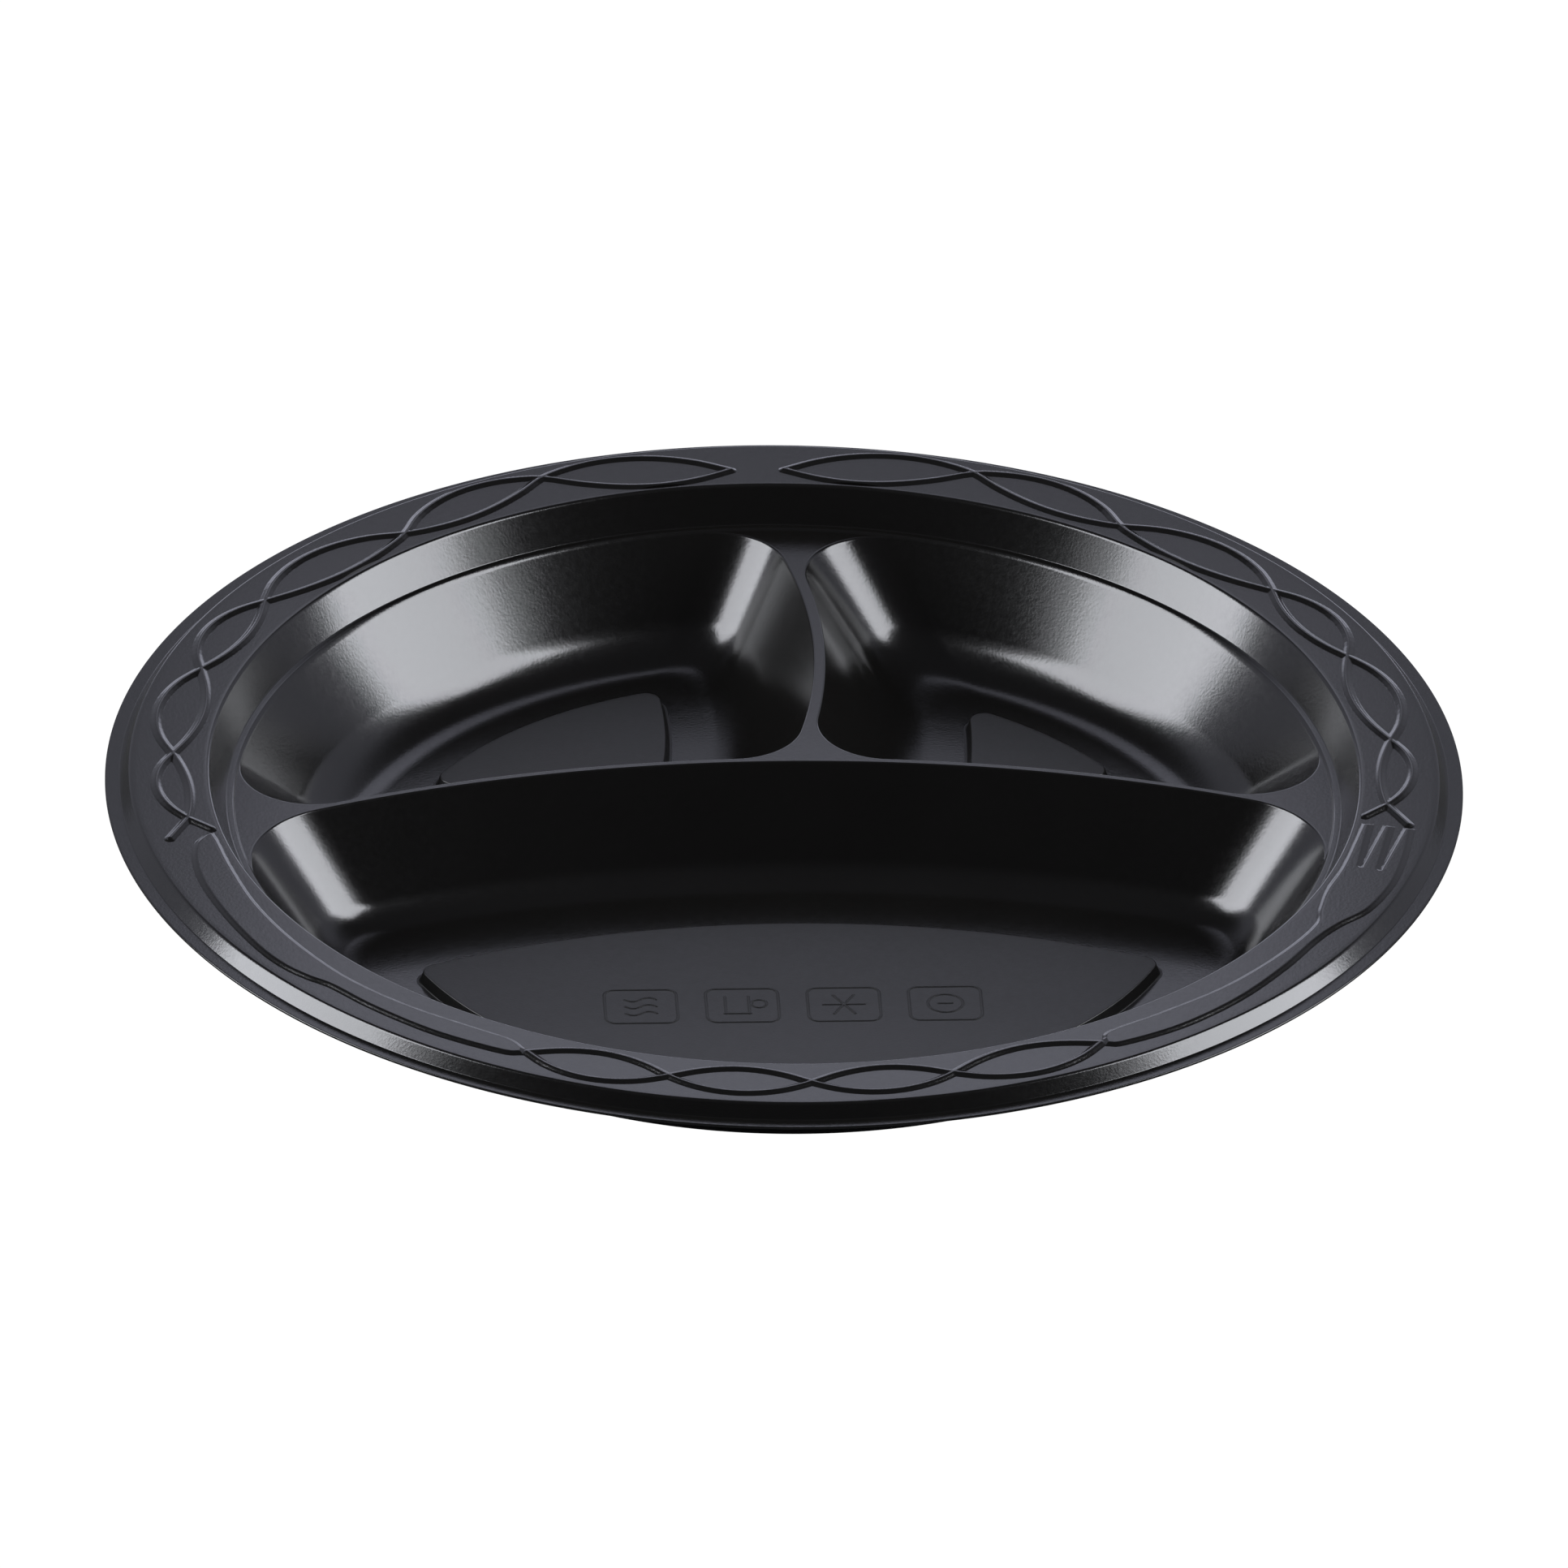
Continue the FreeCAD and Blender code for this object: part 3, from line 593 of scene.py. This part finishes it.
# ---- Material -----------------------------------------------------------------------------------------------
def plastic(name, gloss, grain):
    """Black pressed plastic with a fine grain. Its roughness wanders between the two values of gloss."""
    material = bpy.data.materials.new(name)
    material.use_nodes = True
    tree = material.node_tree
    nodes, links = tree.nodes, tree.links
    shader = nodes["Principled BSDF"]
    shader.inputs["IOR"].default_value = PLASTIC_IOR
    place = nodes.new("ShaderNodeTexCoord").outputs["Object"]

    def noise(scale, detail):
        made = nodes.new("ShaderNodeTexNoise")
        made.inputs["Scale"].default_value = scale
        made.inputs["Detail"].default_value = detail
        links.new(place, made.inputs["Vector"])
        return made.outputs["Fac"]

    def between(factor, low, high):
        made = nodes.new("ShaderNodeMapRange")
        made.inputs["To Min"].default_value = low
        made.inputs["To Max"].default_value = high
        links.new(factor, made.inputs["Value"])
        return made.outputs["Result"]

    colour = nodes.new("ShaderNodeValToRGB")
    colour.color_ramp.elements[0].color = DARKER
    colour.color_ramp.elements[1].color = LIGHTER
    links.new(noise(*COLOUR_NOISE), colour.inputs["Fac"])
    links.new(colour.outputs["Color"], shader.inputs["Base Color"])
    links.new(between(noise(*GLOSS_NOISE), *gloss), shader.inputs["Roughness"])
    bump = nodes.new("ShaderNodeBump")
    bump.inputs["Strength"].default_value = grain
    bump.inputs["Distance"].default_value = GRAIN_DEPTH
    links.new(noise(*GRAIN_NOISE), bump.inputs["Height"])
    links.new(bump.outputs["Normal"], shader.inputs["Normal"])
    return material


# ---- Studio -------------------------------------------------------------------------------------------------
def towards(azimuth, elevation):
    """Unit vector to a place in the room: azimuth 0 is +X, 90 the rear."""
    a, e = radians(azimuth), radians(elevation)
    return Vector((cos(a) * cos(e), sin(a) * cos(e), sin(e)))


def softbox(name, azimuth, elevation, width, height, away, radiance, tint):
    """An area light that faces the plate. Its power is worked out from the radiance that it shows."""
    data = bpy.data.lights.new(name, "AREA")
    data.shape = "RECTANGLE"
    data.size, data.size_y = width, height
    data.energy = radiance * pi * width * height
    data.color = tint
    made = bpy.data.objects.new(name, data)
    back = towards(azimuth, elevation)
    made.location = back * away
    made.rotation_mode = "QUATERNION"
    made.rotation_quaternion = back.to_track_quat("Z", "Y")
    made.visible_camera = False
    bpy.context.scene.collection.objects.link(made)


def studio():
    """Two tall side boxes and a pale rear wall, with a dim room above and behind the camera.

    The camera itself sees plain white in place of the room.
    """
    world = bpy.data.worlds.new("studio")
    bpy.context.scene.world = world
    world.use_nodes = True
    nodes, links = world.node_tree.nodes, world.node_tree.links
    direction = nodes.new("ShaderNodeSeparateXYZ")
    links.new(nodes.new("ShaderNodeTexCoord").outputs["Generated"], direction.inputs["Vector"])

    def fade(axis, start, end, low, high):
        made = nodes.new("ShaderNodeMapRange")
        made.interpolation_type = "SMOOTHSTEP"
        values = {"From Min": start, "From Max": end, "To Min": low, "To Max": high}
        for socket, value in values.items():
            made.inputs[socket].default_value = value
        links.new(direction.outputs[axis], made.inputs["Value"])
        return made.outputs["Result"]

    def combined(operation, first, second):
        made = nodes.new("ShaderNodeMath")
        made.operation = operation
        links.new(first, made.inputs[0])
        links.new(second, made.inputs[1])
        return made.outputs["Value"]

    wall = combined("MULTIPLY", fade("Y", *WALL_SIDES), fade("Z", *WALL_TOP))
    wall = combined("MULTIPLY", wall, fade("Z", *WALL_RISE))
    room = combined("ADD", wall, fade("Z", *ROOM_RISE))
    dim, shown = nodes.new("ShaderNodeBackground"), nodes["Background"]
    dim.inputs["Color"].default_value = REAR_TINT + (1,)
    links.new(room, dim.inputs["Strength"])
    shown.inputs["Color"].default_value = (1, 1, 1, 1)
    shown.inputs["Strength"].default_value = WHITE
    mix = nodes.new("ShaderNodeMixShader")
    links.new(nodes.new("ShaderNodeLightPath").outputs["Is Camera Ray"], mix.inputs["Fac"])
    links.new(dim.outputs["Background"], mix.inputs[1])
    links.new(shown.outputs["Background"], mix.inputs[2])
    links.new(mix.outputs["Shader"], nodes["World Output"].inputs["Surface"])

    for light in LIGHTS:
        softbox(*light)


def floor():
    """A plain white floor. What the plate reflects of it is dimmer than what the camera sees."""
    mesh = bpy.data.meshes.new("floor")
    corners = [(x * FLOOR_HALF, y * FLOOR_HALF, 0) for x, y in ((-1, -1), (1, -1), (1, 1), (-1, 1))]
    mesh.from_pydata(corners, [], [(0, 1, 2, 3)])
    material = bpy.data.materials.new("floor")
    material.use_nodes = True
    nodes, links = material.node_tree.nodes, material.node_tree.links
    nodes.remove(nodes["Principled BSDF"])
    shown, dim = nodes.new("ShaderNodeEmission"), nodes.new("ShaderNodeBsdfDiffuse")
    shown.inputs["Strength"].default_value = WHITE
    dim.inputs["Color"].default_value = (FLOOR_GREY, FLOOR_GREY, FLOOR_GREY, 1)
    mix = nodes.new("ShaderNodeMixShader")
    links.new(nodes.new("ShaderNodeLightPath").outputs["Is Camera Ray"], mix.inputs["Fac"])
    links.new(dim.outputs["BSDF"], mix.inputs[1])
    links.new(shown.outputs["Emission"], mix.inputs[2])
    links.new(mix.outputs["Shader"], nodes["Material Output"].inputs["Surface"])
    mesh.materials.append(material)
    made = bpy.data.objects.new("floor", mesh)
    bpy.context.scene.collection.objects.link(made)


def camera():
    """A very long lens, 30 degrees above the table and almost straight in front."""
    data = bpy.data.cameras.new("camera")
    data.sensor_width = SENSOR_WIDTH
    data.lens = data.sensor_width * CAMERA_DISTANCE / SHOWN_WIDTH
    data.clip_end = 100
    made = bpy.data.objects.new("camera", data)
    back = towards(VIEW_AZIMUTH, VIEW_ELEVATION)
    upright = back.to_track_quat("Z", "Y")
    made.rotation_mode = "QUATERNION"
    made.rotation_quaternion = upright @ Quaternion((0, 0, 1), radians(VIEW_ROLL))
    aim = Vector((0, 0, LIP_Z * MM)) + upright @ Vector((0, AIM_UP, 0))
    made.location = aim + back * CAMERA_DISTANCE
    bpy.context.scene.collection.objects.link(made)
    bpy.context.scene.camera = made


black = plastic("black_plastic", (0.13, 0.22), 0.4)
matte = plastic("black_plastic_matte", (0.34, 0.42), 0.4)
rim_pieces(black)
deck_piece(black)
for pan in PANS:
    pan_pieces(pan, black, matte)
braid_piece("braid_right", SIDE_NODES, SIDE_BULGES, SIDE_TAILS, 1, black)
braid_piece("braid_left", SIDE_NODES, SIDE_BULGES, SIDE_TAILS, -1, black)
braid_piece("braid_front", FRONT_NODES, FRONT_BULGES, [], 1, black)
cutlery_piece("knife_relief", KNIFE_OUTER, [], KNIFE_INNER, -1, black)
cutlery_piece("fork_relief", FORK_OUTER, FORK_TIPS, FORK_INNER, 1, black)
mark_pieces(matte)
floor()
studio()
camera()
bpy.context.scene.view_settings.view_transform = "Standard"
